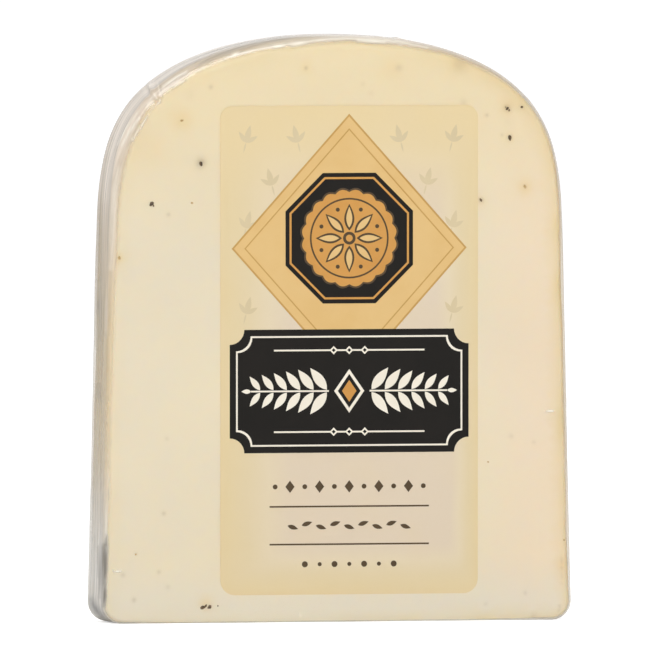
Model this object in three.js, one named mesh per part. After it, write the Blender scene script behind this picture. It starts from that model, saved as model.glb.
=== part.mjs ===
// A slab of semi-firm goat cheese with truffle flakes, cut straight across a domed loaf.
// It is drawn tight into clear film and carries one stuck-on front label.
//
// Millimetres, +Z up. The origin is the middle of the flat base that the slab stands on.
// The labelled cut face looks along -Y, +X is to the right as that face is read.

import * as THREE from 'three';

// ---- the slab, out to the outer skin of its film ---------------------------------------------
const BASE_HALF = 48.4;        // half of the width at the base
const DRAFT = 0.0224;          // how far each side leans in, per millimetre of height (mould draft)
const SPRING_HEIGHT = 75.0;    // where the straight sides turn into the dome
const DOME_RISE = 42.9;        // from there to the top of the dome
const DOME_CROWN = 2.14;       // power of the dome's width: 2 is as round on top as an ellipse
const DOME_SHOULDER = 3.56;    // power of its height: more keeps the shoulders fuller
const BASE_CORNER = 4.0;       // radius of the two lower corners
const THICKNESS = 14.9;        // from cut face to cut face
const EDGE_IN = 1.9;           // rounding of the cut edges under the film, measured in the face
const EDGE_DEEP = 1.6;         // the same rounding, measured into the thickness

// ---- the label, stuck on the front of the film -----------------------------------------------
const LABEL_WIDTH = 53.0;
const LABEL_HEIGHT = 98.2;
const LABEL_CORNER = 2.4;
const LABEL_THICK = 0.15;
const LABEL_RIGHT = 2.4;       // its middle lies this far right of the slab's middle
const LABEL_FOOT = 5.55;       // height of its lower edge above the base

// ---- fineness --------------------------------------------------------------------------------
const DOME_STEPS = 26;         // outline steps in each half of the dome
const SIDE_STEPS = 6;          // outline steps up each straight side
const CORNER_STEPS = 6;        // outline steps round each lower corner
const EDGE_STEPS = 4;          // steps round each cut edge

// Half of the slab's width at a height z.
function halfWidth(z) {
  const t = Math.max(0, (z - SPRING_HEIGHT) / DOME_RISE);
  const dome = Math.pow(Math.max(0, 1 - Math.pow(t, DOME_SHOULDER)), 1 / DOME_CROWN);
  return (BASE_HALF - DRAFT * z) * dome;
}

// The right-hand half of the outline from the middle of the base to the top of the dome.
function rightHalf() {
  const points = [];
  const cx = halfWidth(BASE_CORNER) - BASE_CORNER;
  for (let i = 0; i <= CORNER_STEPS; i++) {
    const a = -Math.PI / 2 + (i / CORNER_STEPS) * (Math.PI / 2);
    points.push([cx + BASE_CORNER * Math.cos(a), BASE_CORNER + BASE_CORNER * Math.sin(a)]);
  }
  for (let i = 1; i <= SIDE_STEPS; i++) {
    const z = BASE_CORNER + (i / SIDE_STEPS) * (SPRING_HEIGHT - BASE_CORNER);
    points.push([halfWidth(z), z]);
  }
  for (let i = 1; i <= DOME_STEPS; i++) {
    const a = (i / DOME_STEPS) * (Math.PI / 2);
    const z = SPRING_HEIGHT + DOME_RISE * Math.pow(Math.sin(a), 2 / DOME_SHOULDER);
    points.push([i === DOME_STEPS ? 0 : halfWidth(z), z]);
  }
  return points;
}

// The whole outline, anticlockwise as the front is read.
function slabOutline() {
  const right = rightHalf();
  const left = right.slice(0, -1).reverse().map(([x, z]) => [-x, z]);
  return new THREE.Shape([...right, ...left].map(([x, z]) => new THREE.Vector2(x, z)));
}

function labelOutline() {
  const w = LABEL_WIDTH / 2, h = LABEL_HEIGHT / 2, r = LABEL_CORNER;
  const s = new THREE.Shape();
  s.moveTo(-w + r, -h);
  s.lineTo(w - r, -h);
  s.absarc(w - r, -h + r, r, -Math.PI / 2, 0, false);
  s.lineTo(w, h - r);
  s.absarc(w - r, h - r, r, 0, Math.PI / 2, false);
  s.lineTo(-w + r, h);
  s.absarc(-w + r, h - r, r, Math.PI / 2, Math.PI, false);
  s.lineTo(-w, -h + r);
  s.absarc(-w + r, -h + r, r, Math.PI, 1.5 * Math.PI, false);
  return s;
}

const creamCheese = new THREE.MeshStandardMaterial({ color: 0xeedfc2, roughness: 0.35, metalness: 0 });
const labelPaper = new THREE.MeshStandardMaterial({ color: 0xe8d6b4, roughness: 0.5, metalness: 0 });

// The slab: its outline run through the thickness, with both cut edges rounded over.
const slab = new THREE.Mesh(
  new THREE.ExtrudeGeometry(slabOutline(), {
    depth: THICKNESS - 2 * EDGE_DEEP,
    steps: 1,
    bevelEnabled: true,
    bevelThickness: EDGE_DEEP,
    bevelSize: EDGE_IN,
    bevelOffset: -EDGE_IN,
    bevelSegments: EDGE_STEPS,
    curveSegments: 1,
  }),
  creamCheese,
);
slab.name = 'wrapped_slab';
slab.rotation.x = Math.PI / 2;                     // the outline stands up, the depth runs to -Y
slab.position.y = THICKNESS / 2 - EDGE_DEEP;

// The label: a thin rounded rectangle lying flat on the front cut face.
const label = new THREE.Mesh(
  new THREE.ExtrudeGeometry(labelOutline(), {
    depth: LABEL_THICK,
    steps: 1,
    bevelEnabled: false,
    curveSegments: 5,
  }),
  labelPaper,
);
label.name = 'front_label';
label.rotation.x = Math.PI / 2;
label.position.set(LABEL_RIGHT, -THICKNESS / 2, LABEL_FOOT + LABEL_HEIGHT / 2);

const pack = new THREE.Group();
pack.add(slab, label);

export default pack;
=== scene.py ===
# Looks for a domed slab of semi-firm goat cheese with truffle flakes, tight in clear film, with one front label.
# Lengths below are millimetres in the part's frame (+Z up, the front looks along -Y) and become metres in the meshes.
import math

import bmesh
import bpy
import numpy as np
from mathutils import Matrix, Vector
from mathutils.geometry import delaunay_2d_cdt


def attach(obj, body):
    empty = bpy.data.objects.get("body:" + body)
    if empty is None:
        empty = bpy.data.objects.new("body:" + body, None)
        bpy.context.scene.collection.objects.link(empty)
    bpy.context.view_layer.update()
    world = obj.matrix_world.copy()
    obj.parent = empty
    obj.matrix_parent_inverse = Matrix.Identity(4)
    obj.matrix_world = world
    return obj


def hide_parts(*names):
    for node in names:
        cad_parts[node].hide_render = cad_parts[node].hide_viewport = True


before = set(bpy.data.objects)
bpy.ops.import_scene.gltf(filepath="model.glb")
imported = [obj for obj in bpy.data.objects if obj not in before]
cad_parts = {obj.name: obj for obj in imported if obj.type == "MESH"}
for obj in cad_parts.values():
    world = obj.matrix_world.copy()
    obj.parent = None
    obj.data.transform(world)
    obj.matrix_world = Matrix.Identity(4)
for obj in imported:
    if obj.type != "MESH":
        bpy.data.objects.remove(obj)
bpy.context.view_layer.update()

MM = 0.001

# ---- sizes of the part -----------------------------------------------------------------------
BASE_HALF, DRAFT = 48.4, 0.0224
SPRING, RISE, CROWN, SHOULDER = 75.0, 42.9, 2.14, 3.56
CORNER, THICK = 4.0, 14.9
HEIGHT = SPRING + RISE
LABEL_W, LABEL_H, LABEL_THICK = 53.0, 98.2, 0.09
LABEL_X, LABEL_FOOT = 2.4, 5.55
LABEL_Z = LABEL_FOOT + LABEL_H / 2

# ---- the photograph's view -------------------------------------------------------------------
YAW, PITCH = math.radians(12.6), math.radians(1.8)
PIXEL = 4.97                 # picture pixels for each millimetre, at the slab
MIDDLE = (329.4, 327.6)      # where the slab's middle falls in the picture
AWAY = 5000.0                # how far the camera stands off

RIGHT = np.array([math.cos(YAW), -math.sin(YAW), 0.0])
UP = np.array([math.sin(YAW) * math.sin(PITCH), math.cos(YAW) * math.sin(PITCH), math.cos(PITCH)])
AHEAD = np.array([math.sin(YAW) * math.cos(PITCH), math.cos(YAW) * math.cos(PITCH), -math.sin(PITCH)])
TARGET = np.array([0.0, 0.0, HEIGHT / 2])


def on_front(px, py):
    """The place (x, z) on the front cut face that falls on a picture point."""
    y, deep = -THICK / 2, 0.0
    for _ in range(4):
        k = (1 + deep / AWAY) / PIXEL
        u, v = (px - MIDDLE[0]) * k, (MIDDLE[1] - py) * k
        x = (u - y * RIGHT[1]) / RIGHT[0]
        z = TARGET[2] + (v - x * UP[0] - y * UP[1]) / UP[2]
        deep = x * AHEAD[0] + y * AHEAD[1] + (z - TARGET[2]) * AHEAD[2]
    return x, z


# ---- the slab's outline ----------------------------------------------------------------------
def half_width(z):
    t = np.clip((z - SPRING) / RISE, 0.0, 1.0)
    return (BASE_HALF - DRAFT * z) * np.maximum(0.0, 1.0 - t ** SHOULDER) ** (1.0 / CROWN)


def dense_outline():
    """The closed outline as (x, z), anticlockwise as the front is read, from the middle of the base."""
    cx = float(half_width(CORNER)) - CORNER
    a = np.linspace(-math.pi / 2, 0, 90)
    corner = np.stack([cx + CORNER * np.cos(a), CORNER + CORNER * np.sin(a)], 1)
    base = np.stack([np.linspace(0, cx, 400, endpoint=False), np.zeros(400)], 1)
    z = np.linspace(CORNER, SPRING, 500)[1:]
    side = np.stack([half_width(z), z], 1)
    a = np.linspace(0, math.pi / 2, 1600)[1:]
    z = SPRING + RISE * np.sin(a) ** (2 / SHOULDER)
    dome = np.stack([half_width(z), z], 1)
    dome[-1, 0] = 0.0
    right = np.concatenate([base, corner, side, dome])
    left = right[1:-1][::-1] * np.array([-1.0, 1.0])
    return np.concatenate([right, left])


RAW = dense_outline()
RAW_STEP = np.linalg.norm(np.roll(RAW, -1, 0) - RAW, axis=1)
RAW_S = np.concatenate([[0.0], np.cumsum(RAW_STEP)])
ROUND = float(RAW_S[-1])     # the way round the outline


def along(s):
    """Points and outward normals of the outline at distances s round it."""
    s = np.mod(s, ROUND)
    closed = np.concatenate([RAW, RAW[:1]])
    p = np.stack([np.interp(s, RAW_S, closed[:, i]) for i in (0, 1)], 1)
    e = 0.6
    q = [np.stack([np.interp(np.mod(s + d, ROUND), RAW_S, closed[:, i]) for i in (0, 1)], 1) for d in (-e, e)]
    t = q[1] - q[0]
    n = np.stack([t[:, 1], -t[:, 0]], 1)
    return p, n / np.linalg.norm(n, axis=1, keepdims=True)


def s_near(x, z):
    """The distance round the outline of the place nearest to (x, z)."""
    return float(RAW_S[int(np.argmin((RAW[:, 0] - x) ** 2 + (RAW[:, 1] - z) ** 2))])


def loop_noise(s, low, high, seed):
    """A smooth wander round the closed outline, with unit spread and low to high waves in all."""
    rng = np.random.default_rng(seed)
    k = np.arange(low, high + 1)
    a, ph = rng.normal(size=len(k)), rng.uniform(0, 2 * math.pi, len(k))
    v = (a[:, None] * np.cos(2 * math.pi * k[:, None] * s[None, :] / ROUND + ph[:, None])).sum(0)
    return v / math.sqrt(0.5 * float((a ** 2).sum()))


def streak_noise(s, w, count, waves_s, waves_w, seed):
    """Unit-spread noise over (round the outline, across the side), drawn out along the outline."""
    rng = np.random.default_rng(seed)
    out = np.zeros((len(w), len(s)))
    for _ in range(count):
        k = rng.integers(-waves_s, waves_s + 1)
        f = rng.uniform(*waves_w) * rng.choice([-1, 1])
        out += rng.normal() * np.cos(2 * math.pi * (k * s[None, :] / ROUND + f * w[:, None]) + rng.uniform(0, 2 * math.pi))
    return out / out.std()


def bulge(x, z):
    """How far the cut faces stand out of true, a few hundredths of a millimetre in slow waves."""
    return (0.035 * np.sin(x / 9.1 + 0.4) * np.sin(z / 12.7 + 1.1) + 0.03 * np.sin(x / 15.3 - z / 10.9 + 2.2)
            + 0.02 * np.sin(x / 5.7 + z / 6.3))


def spaced(fine, spots, step, reach):
    """Distances round the outline, every `step`, and every `fine` within `reach` of the spots."""
    s, out = 0.0, []
    while s < ROUND - 0.5 * fine:
        out.append(s)
        near = min((abs((s - p + ROUND / 2) % ROUND - ROUND / 2) for p in spots), default=1e9)
        s += fine if near < reach else step
    return np.array(out)


# ---- meshes ----------------------------------------------------------------------------------
def new_object(name, verts, faces, smooth=True):
    me = bpy.data.meshes.new(name)
    me.from_pydata((np.asarray(verts) * MM).tolist(), [], faces)
    me.update()
    if smooth:
        me.polygons.foreach_set("use_smooth", np.ones(len(me.polygons), bool))
    ob = bpy.data.objects.new(name, me)
    bpy.context.scene.collection.objects.link(ob)
    return ob


def set_values(ob, name, values):
    a = ob.data.attributes.new(name, "FLOAT", "POINT")
    a.data.foreach_set("value", np.ascontiguousarray(values, np.float32))


def set_vectors(ob, name, values):
    a = ob.data.attributes.new(name, "FLOAT_VECTOR", "POINT")
    a.data.foreach_set("vector", np.ascontiguousarray(values, np.float32).ravel())


def inside(points, poly):
    """Which points lie inside a closed outline."""
    x, y = points[:, 0], points[:, 1]
    hit = np.zeros(len(points), bool)
    for (x0, y0), (x1, y1) in zip(poly, np.roll(poly, -1, 0)):
        if y0 == y1:
            continue
        cross = (y0 > y) != (y1 > y)
        hit ^= cross & (x < (x1 - x0) * (y - y0) / (y1 - y0) + x0)
    return hit


def round_values(controls, s, blur=5.0):
    """A smooth value round the outline through (x, z, value) places near it."""
    at = sorted((s_near(x, z), v) for x, z, v in controls)
    knots = np.array([a for a, _ in at])
    values = np.array([v for _, v in at])
    grid = np.arange(1024) * ROUND / 1024
    raw = np.interp(grid, np.concatenate([knots - ROUND, knots, knots + ROUND]), np.tile(values, 3))
    f = np.fft.rfft(raw) * np.exp(-0.5 * (2 * math.pi * np.arange(513) * blur / ROUND) ** 2)
    smooth = np.fft.irfft(f, 1024)
    return np.interp(np.mod(s, ROUND), np.append(grid, ROUND), np.append(smooth, smooth[0]))


def face_fill(ring, grid, extra):
    """Triangles over a closed ring of points (x, z): a lattice inside it and extra points. Returns new points and triangles."""
    m = len(ring)
    mid = ring.mean(0)
    inner = mid + (ring - mid) * (1 - 0.75 * grid / 45.0)
    lo, hi = ring.min(0), ring.max(0)
    rows = []
    for i, z in enumerate(np.arange(lo[1], hi[1], grid * 0.87)):
        x = np.arange(lo[0], hi[0], grid) + (0.5 * grid if i % 2 else 0.0)
        rows.append(np.stack([x, np.full(len(x), z)], 1))
    lattice = np.concatenate(rows)
    lattice = lattice[inside(lattice, inner)]
    if len(extra):
        lattice = np.concatenate([lattice, extra[inside(extra, mid + (ring - mid) * 0.988)]])
    pts = [Vector((float(u), float(v))) for u, v in np.concatenate([ring, lattice])]
    edges = [(i, (i + 1) % m) for i in range(m)]
    verts, _, tris, source, *_ = delaunay_2d_cdt(pts, edges, [], 0, 1e-4)
    p = np.array([tuple(v) for v in verts])
    t = np.array([list(f) for f in tris])
    t = t[inside(p[t].mean(1), ring)]
    area = np.cross(p[t[:, 1]] - p[t[:, 0]], p[t[:, 2]] - p[t[:, 0]])
    t[area < 0] = t[area < 0][:, ::-1]
    place, fresh = np.zeros(len(p), int), []
    for i, was in enumerate(source):
        if was and min(was) < m:
            place[i] = min(was)
        else:
            place[i] = m + len(fresh)
            fresh.append(p[i])
    t = place[t]
    t = t[(t[:, 0] != t[:, 1]) & (t[:, 1] != t[:, 2]) & (t[:, 0] != t[:, 2])]
    return np.array(fresh), t


def slab_mesh(name, s, inset, skin, edge_in, edge_deep, ease, edge_steps, side_steps, lift, grid, extra_front=(), extra_back=()):
    """A domed slab: cut faces, and rings over the rounded cut edge, the side and the other edge.
    inset: how far its side lies inside the outline. skin: how far its faces lie inside the faces. ease: a smooth edge_in.
    lift: how far a point at (s, w) stands off, with w the way across from the front edge.
    Returns the object, its points and for each point (s, w, zone), with zone from 0 on the front to 4 on the back."""
    p, n = along(s)
    half = THICK / 2 - skin
    m = len(s)
    rest, push, zones = [], [], []

    def put(d, y, zone, a):
        q = p - n * (inset + d)[:, None]
        rest.append(np.stack([q[:, 0], np.broadcast_to(y, (m,)), q[:, 1]], 1))
        side = math.sin(a)
        front = math.cos(a) * (-1 if zone < 2 else 1)
        push.append(np.stack([n[:, 0] * side, np.full(m, front), n[:, 1] * side], 1) if 0 < zone < 4 else np.zeros((m, 3)))
        zones.append(zone)

    reach = ease + 0.9
    for t in (0.0, 0.45, 0.8, 1.0):
        put(reach * (1 - t) + edge_in * t, -half - (1 - t) * bulge(*(p - n * (inset + reach)[:, None]).T), 0, 0.0)
    for i in range(1, edge_steps + 1):
        a = 0.5 * math.pi * i / edge_steps
        put(edge_in * (1 - math.sin(a)), -half + edge_deep * (1 - math.cos(a)), 1, a)
    for i in range(1, side_steps):
        t = i / side_steps
        put(np.zeros(m), (-half + edge_deep) * (1 - t) + (half - edge_deep) * t, 2, 0.5 * math.pi)
    for i in range(edge_steps, 0, -1):
        a = 0.5 * math.pi * i / edge_steps
        put(edge_in * (1 - math.sin(a)), half - edge_deep * (1 - math.cos(a)), 3, a)
    for t in (1.0, 0.8, 0.45, 0.0):
        put(reach * (1 - t) + edge_in * t, half + (1 - t) * bulge(*(p - n * (inset + reach)[:, None]).T), 4, 0.0)
    rest, push = np.array(rest), np.array(push)
    steps = np.linalg.norm(np.diff(rest, axis=0), axis=2)
    w = np.concatenate([np.zeros((1, m)), np.cumsum(steps, 0)])
    w -= w[3]
    k = len(rest)
    for i in range(k):
        rest[i] += push[i] * lift(s, w[i], w[k - 4])[:, None]
    verts = [rest.reshape(-1, 3)]
    marks = [np.stack([np.tile(s, k), w.ravel(), np.repeat(np.array(zones, float), m)], 1)]
    i, j = np.meshgrid(np.arange(k - 1), np.arange(m), indexing="ij")
    a, b = i * m + j, i * m + (j + 1) % m
    faces = np.stack([a + m, b + m, b, a], -1).reshape(-1, 4).tolist()
    count = k * m
    for ring, at, y, zone, extra in ((0, 0, -1, 0, extra_front), (k - 1, (k - 1) * m, 1, 4, extra_back)):
        fresh, tris = face_fill(rest[ring][:, (0, 2)], grid, np.asarray(extra))
        verts.append(np.stack([fresh[:, 0], y * (half + bulge(fresh[:, 0], fresh[:, 1])), fresh[:, 1]], 1))
        marks.append(np.stack([np.zeros(len(fresh)), np.full(len(fresh), -9.0), np.full(len(fresh), float(zone))], 1))
        tris = np.where(tris < m, tris + at, tris - m + count)
        faces += (tris if y < 0 else tris[:, ::-1]).tolist()
        count += len(fresh)
    verts, marks = np.concatenate(verts), np.concatenate(marks)
    return new_object(name, verts, faces), verts, marks


# How far the cut edges are rounded over, in the face and into the thickness, at places round the outline.
EDGE_IN = [(0, 0, 0.3), (30, 0, 0.3), (47, 2, 0.8), (48, 20, 1.2), (47.5, 60, 1.2), (46, 85, 1.3), (38, 104, 1.5), (15, 117.5, 2.1), (0, 117.9, 2.4),
           (-15, 117.3, 2.6), (-28, 112.5, 2.9), (-36, 107, 3.1), (-43, 97, 2.9), (-46.3, 85, 2.0), (-47.3, 60, 1.3), (-48, 22, 1.3), (-47.5, 3, 1.2),
           (-42, 0, 0.5), (-30, 0, 0.3)]
EDGE_DEEP = [(0, 0, 0.3), (30, 0, 0.3), (47, 2, 0.8), (48, 20, 1.1), (47.5, 60, 1.1), (38, 104, 1.3), (15, 117.5, 1.6), (0, 117.9, 1.8),
             (-15, 117.3, 2.0), (-36, 107, 2.5), (-46.3, 85, 1.9), (-47.3, 55, 1.3), (-48, 22, 1.3), (-47.5, 3, 1.1), (-42, 0, 0.5), (-30, 0, 0.3)]


# ---- node materials --------------------------------------------------------------------------
def lin(r, g, b):
    """A linear colour from sRGB numbers of 0 to 255."""
    f = lambda c: c / 12.92 if c <= 0.04045 else ((c + 0.055) / 1.055) ** 2.4
    return (f(r / 255), f(g / 255), f(b / 255), 1.0)


class Nodes:
    def __init__(self, name):
        self.mat = bpy.data.materials.new(name)
        self.mat.use_nodes = True
        self.t = self.mat.node_tree
        self.t.nodes.clear()
        self.out = self.t.nodes.new("ShaderNodeOutputMaterial")

    def add(self, kind, ins=None, **props):
        n = self.t.nodes.new("ShaderNode" + kind)
        for k, v in props.items():
            setattr(n, k, v)
        for k, v in (ins or {}).items():
            self.put(n.inputs[k], v)
        return n

    def put(self, socket, v):
        if isinstance(v, bpy.types.NodeSocket):
            self.t.links.new(v, socket)
        else:
            socket.default_value = v

    def math(self, op, a, b=None, clamp=False):
        n = self.add("Math", {0: a}, operation=op, use_clamp=clamp)
        if b is not None:
            self.put(n.inputs[1], b)
        return n.outputs[0]

    def mix(self, fac, a, b, blend="MIX"):
        n = self.t.nodes.new("ShaderNodeMix")
        n.data_type, n.blend_type = "RGBA", blend
        self.put(n.inputs[0], fac)
        self.put(n.inputs[6], a)
        self.put(n.inputs[7], b)
        return n.outputs[2]

    def noise(self, vec, scale, detail=2.0, rough=0.5, stretch=None):
        if stretch is not None:
            vec = self.add("Mapping", {"Vector": vec, "Scale": stretch}).outputs[0]
        return self.add("TexNoise", {"Vector": vec, "Scale": scale, "Detail": detail, "Roughness": rough}).outputs[0]

    def span(self, v, a, b, lo=0.0, hi=1.0, smooth=True):
        n = self.add("MapRange", {0: v, 1: a, 2: b, 3: lo, 4: hi}, clamp=True)
        n.interpolation_type = "SMOOTHSTEP" if smooth else "LINEAR"
        return n.outputs[0]

    def here(self):
        return self.add("TexCoord").outputs["Object"]

    def attr(self, name, what="Fac"):
        return self.add("Attribute", attribute_name=name).outputs[what]

    def bump(self, height, strength, distance):
        return self.add("Bump", {"Height": height, "Strength": strength, "Distance": distance}).outputs[0]

    def done(self, shader):
        self.t.links.new(shader, self.out.inputs["Surface"])
        return self.mat


# ---- the cheese ------------------------------------------------------------------------------
# Flakes that the front shows: place in the picture, half width and half height in picture pixels, turn in degrees.
DARK = [(152, 203.6, 2.0, 2.1, 20), (150.6, 205.2, 1.0, 1.3, 60), (153.6, 206.0, 0.9, 0.9, 0), (201, 163.8, 1.5, 2.3, 10), (507.4, 108.6, 1.7, 1.1, 40),
        (509.2, 110.4, 1.0, 0.8, 70), (505.8, 107.0, 0.6, 0.5, 0), (522, 107, 1.3, 1.0, 0), (510, 137.5, 1.6, 2.8, 8), (481, 200, 1.1, 1.9, 25),
        (203, 607.6, 2.3, 1.8, 0), (209.4, 607.2, 2.2, 1.6, 30), (206, 605.8, 1.4, 0.9, 60), (218, 606, 0.8, 0.7, 0)]
TAN = [(182, 120.5, 1.6, 1.1, 0), (119.5, 258, 1.5, 1.6, 0), (192, 203, 1.2, 1.1, 0), (525, 186.5, 1.2, 1.9, 30), (564, 540, 0.9, 1.0, 0),
       (136, 554.5, 0.9, 0.9, 0), (488, 462, 0.9, 0.9, 0)]
# Flakes that lie under the surface and show as soft spots: place, radius in pixels, strength.
SOFT = [(201, 162.6, 8.6, 0.72), (211, 87, 4.4, 0.36), (168.5, 214.5, 4.0, 0.25), (306, 68, 3.6, 0.34), (460, 65, 12.0, 0.24), (464, 102, 6.0, 0.16),
        (487, 115, 4.0, 0.24), (502, 135, 3.4, 0.2), (399, 68, 6.5, 0.2), (371, 93, 5.0, 0.12), (363, 84, 5.0, 0.1), (123, 575, 4.6, 0.34),
        (136, 554, 3.4, 0.22), (164, 513.5, 4.2, 0.28), (167, 438.6, 4.0, 0.16), (168, 587, 4.4, 0.24), (134, 600, 4.4, 0.3), (159, 572, 4.0, 0.2),
        (511, 436, 4.4, 0.2), (534, 442, 4.0, 0.16), (525.5, 593, 4.0, 0.24), (486, 604, 4.0, 0.2), (534, 616, 6.0, 0.2), (509, 122, 9.0, 0.06), (561.6, 558, 3.0, 0.3), (561.8, 563, 3.0, 0.3), (562, 568, 2.8, 0.26), (562, 573, 2.6, 0.22), (562, 578, 2.4, 0.2),
        (562, 583, 2.2, 0.16), (559.6, 606, 3.2, 0.34), (559.2, 610, 2.8, 0.3), (507.5, 108, 7.0, 0.4), (522, 107, 5.0, 0.3), (481, 200, 4.6, 0.4), (510, 137.5, 5.0, 0.3), (525, 186.5, 4.0, 0.2),
        (190, 95, 9.0, 0.08), (206, 607, 7.0, 0.12), (152, 204, 5.0, 0.1)]
# Warm stain round some flakes.
WARM = [(182, 121, 12.0, 0.55), (525, 187, 9.0, 0.6), (508, 106, 10.0, 0.5), (206, 604, 9.0, 0.5), (119.5, 258, 7.0, 0.5), (510, 138, 7.0, 0.3),
        (481, 200, 7.0, 0.3), (306, 68, 7.0, 0.35), (455, 66, 16.0, 0.3), (150, 150, 22.0, 0.22), (392, 70, 15.0, 0.25), (562, 566, 9.0, 0.4)]

CHEESE_SKIN, CHEESE_INSET = 0.13, 0.36

rng = np.random.default_rng(41)


def inside_face(x, z, margin):
    return z > margin and z < HEIGHT - margin and abs(x) < half_width(z + margin * 0.6) - margin


def scatter_face(count, margin=3.0, apart=2.0):
    """Random places on a cut face."""
    found = []
    while len(found) < count:
        x, z = rng.uniform(-BASE_HALF, BASE_HALF), rng.uniform(0, HEIGHT)
        if inside_face(x, z, margin) and all((x - a) ** 2 + (z - b) ** 2 > apart ** 2 for a, b in found):
            found.append((x, z))
    return found


BACK_DARK = [(x, z, rng.uniform(0.28, 0.62), rng.uniform(0.26, 0.7), rng.uniform(0, 180)) for x, z in scatter_face(19)]
BACK_TAN = [(x, z, rng.uniform(0.2, 0.45), rng.uniform(0.2, 0.5), rng.uniform(0, 180)) for x, z in scatter_face(16)]
BACK_SOFT = [(x, z, rng.uniform(0.6, 1.4), rng.uniform(0.05, 0.22)) for x, z in scatter_face(34)]
BACK_WARM = [(x, z, rng.uniform(1.4, 3.4), rng.uniform(0.2, 0.5)) for x, z in scatter_face(18)]
# On the side: (distance round the outline, y, half sizes, turn); the base is kept clear.
SIDE_DARK = [(rng.uniform(55, ROUND - 55), rng.uniform(-4.6, 4.6), rng.uniform(0.24, 0.5), rng.uniform(0.22, 0.55), rng.uniform(0, 180)) for _ in range(13)]
SIDE_TAN = [(rng.uniform(55, ROUND - 55), rng.uniform(-4.6, 4.6), rng.uniform(0.2, 0.4), rng.uniform(0.2, 0.4), rng.uniform(0, 180)) for _ in range(10)]

cheese_s = spaced(0.62, [], 0.62, 0.0)
ease = round_values(EDGE_IN, cheese_s)
edge_wave = np.clip(1.03 + 0.06 * loop_noise(cheese_s, 6, 40, 3), 0.9, 1.25)


def cheese_lift(s, w, wide):
    p, _ = along(s)
    return np.where(p[:, 1] < 1.0, 0.0, 0.07 * loop_noise(s, 5, 26, 8) - 0.05) * np.clip(np.minimum(w, wide - w) / 3.0, 0, 1)


def round_spots(places):
    """Extra points round soft spots, so that the mesh can carry them."""
    out = []
    for x, z, r, _ in places:
        for k, count in ((0.0, 1), (0.35, 6), (0.7, 9), (1.1, 12), (1.6, 14), (2.2, 14)):
            a = np.arange(count) * 2 * math.pi / count + k
            out.append(np.stack([x + k * r * np.cos(a), z + k * r * np.sin(a)], 1))
    return np.concatenate(out)


FRONT_SOFT = [(*on_front(px, py), 0.56 * r / PIXEL, 0.72 * k) for px, py, r, k in SOFT]
FRONT_WARM = [(*on_front(px, py), 0.8 * r / PIXEL, k) for px, py, r, k in WARM]
gap = round_values([(0, 0, 0.06), (36, 0, 0.06), (46, 1, 0.2), (48, 9, CHEESE_INSET), (0, 118.4, CHEESE_INSET), (-48, 9, CHEESE_INSET), (-46, 1, 0.2), (-36, 0, 0.06)], cheese_s, 2.0)
cheese, cheese_v, cheese_m = slab_mesh("cheese_slab", cheese_s, gap, CHEESE_SKIN, ease * edge_wave, round_values(EDGE_DEEP, cheese_s) * edge_wave,
                                       ease, 9, 14, cheese_lift, 1.5, round_spots(FRONT_SOFT), round_spots(BACK_SOFT))

zone = cheese_m[:, 2]
soft, warm = np.zeros(len(cheese_v)), np.zeros(len(cheese_v))
front, back = zone < 2, zone > 2


def spots(values, mask, places):
    x, z = cheese_v[mask, 0], cheese_v[mask, 2]
    add = np.zeros(mask.sum())
    for px, pz, r, k in places:
        add = np.maximum(add, k * np.exp(-((x - px) ** 2 + (z - pz) ** 2) / (r * r)))
    values[mask] = np.maximum(values[mask], add)


spots(soft, front, FRONT_SOFT)
spots(warm, front, FRONT_WARM)
spots(soft, back, BACK_SOFT)
spots(warm, back, BACK_WARM)
set_values(cheese, "soft_spot", soft)
set_values(cheese, "warm_spot", warm)
# 1 on the side and the rounded cut edge, falling to 0 in the cut faces, times a level round the outline: painted shade,
# a darker yellower edge, strongest where the edge faces away from the key light.
edge_shade_level = round_values([(0, 0, 0.3), (47, 2, 0.8), (48, 20, 1.0), (47.5, 60, 1.0), (38, 104, 0.9), (15, 117.5, 0.5), (-15, 117.5, 0.3), (-36, 107, 0.2),
                    (-47.3, 60, 0.25), (-48, 20, 0.3), (-30, 0, 0.3)], cheese_m[:, 0])
edge = np.where((cheese_m[:, 1] > -8.0) & (zone < 4), np.clip(1.0 + np.minimum(cheese_m[:, 1], 0.0) / 1.9, 0, 1), 0.0)
set_values(cheese, "edge_shade", edge * edge_shade_level)
set_values(cheese, "rind", np.where((zone >= 1) & (zone <= 3), np.clip(cheese_m[:, 1] / 3.0 - 0.5, 0, 1), 0.0))


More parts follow.
